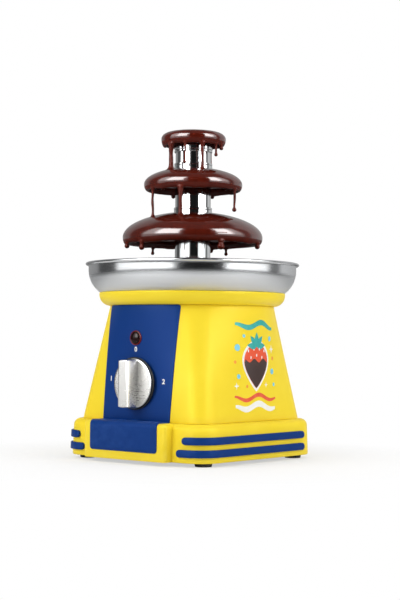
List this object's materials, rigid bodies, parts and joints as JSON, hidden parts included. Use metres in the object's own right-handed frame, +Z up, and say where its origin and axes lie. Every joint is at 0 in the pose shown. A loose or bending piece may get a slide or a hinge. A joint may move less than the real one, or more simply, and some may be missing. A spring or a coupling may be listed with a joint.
{
  "type": "chocolate fountain",
  "caption": "Table-top chocolate fountain: flared moulded base with a knob and lamp, steel bowl, and a lift-off tiered tower fed by an auger.",
  "frame": {"origin": "on the table, under the tower's axis", "axes": "+Z up along the tower's axis, the front panel and knob face -Y"},
  "size_m": [0.2, 0.2, 0.3079],
  "materials": {
    "yellow_plastic": "gloss moulded plastic",
    "blue_plastic": "satin moulded plastic",
    "bowl_steel": "polished band over a matte spun wall",
    "tube_steel": "mirror polished",
    "plated_steel": "zinc plated",
    "knob_silver": "satin plated",
    "black_plastic": "fine texture",
    "black_rubber": "matte",
    "red_lens": "dark clear red",
    "pale_plastic": "plain",
    "brass": "turned",
    "aluminium": "cast",
    "motor_paint": "grey paint",
    "chocolate": "wet gloss"
  },
  "bodies": {
    "base": {"rubber_feet": "black_rubber", "base_plate": "black_plastic", "base_plate_screws": "plated_steel", "plinth": "yellow_plastic", "plinth_front_plate": "blue_plastic", "plinth_stripes": "blue_plastic", "body_shell": "yellow_plastic", "shell_screws": "plated_steel", "front_panel": "blue_plastic", "lamp_lens": "red_lens", "lamp_body": "black_plastic", "rotary_switch": "pale_plastic", "switch_nut": "brass", "collar_ring": "yellow_plastic", "collar_screws": "plated_steel", "bowl": "bowl_steel", "bowl_pegs": "plated_steel", "shaft_bush": "brass", "bush_nut": "brass", "shaft_seal": "black_rubber", "heater_ring": "aluminium", "heater_plate": "plated_steel", "thermostat": "black_plastic", "thermal_fuse": "pale_plastic", "support_posts": "plated_steel", "post_screws": "plated_steel", "motor_bracket": "plated_steel", "bracket_screws": "plated_steel", "gearbox_case": "motor_paint", "gearbox_screws": "plated_steel", "motor_case": "motor_paint", "cord_gland": "black_plastic", "gland_nut": "black_plastic", "terminal_block": "pale_plastic", "chocolate_pool": "chocolate"},
    "drive": {"drive_shaft": "plated_steel", "hex_coupling": "brass"},
    "auger": {"auger_core": "pale_plastic", "auger_flight": "pale_plastic", "auger_crown": "chocolate"},
    "tower": {"tower_tube": "tube_steel", "tower_foot": "tube_steel", "tier_bottom": "tube_steel", "tier_middle": "tube_steel", "tier_top": "tube_steel", "coat_bottom": "chocolate", "coat_middle": "chocolate", "coat_top": "chocolate", "chocolate_streams": "chocolate", "foot_chocolate": "chocolate"},
    "knob": {"knob_cap": "knob_silver", "knob_skirt": "black_plastic", "switch_spindle": "plated_steel"}
  },
  "joints": [
    {"name": "drive_spin", "type": "hinge", "parent": "base", "child": "drive", "pos_m": [0, 0, 0.15], "axis": [0, 0, 1], "continuous": true},
    {"name": "auger_lift", "type": "slide", "parent": "drive", "child": "auger", "axis": [0, 0, 1], "range_m": [0, 0.165]},
    {"name": "tower_lift", "type": "slide", "parent": "base", "child": "tower", "axis": [0, 0, 1], "range_m": [0, 0.17]},
    {"name": "knob_turn", "type": "hinge", "parent": "base", "child": "knob", "pos_m": [0, -0.077, 0.071], "axis": [0, -1, 0], "range_deg": [-90, 90]}
  ]
}
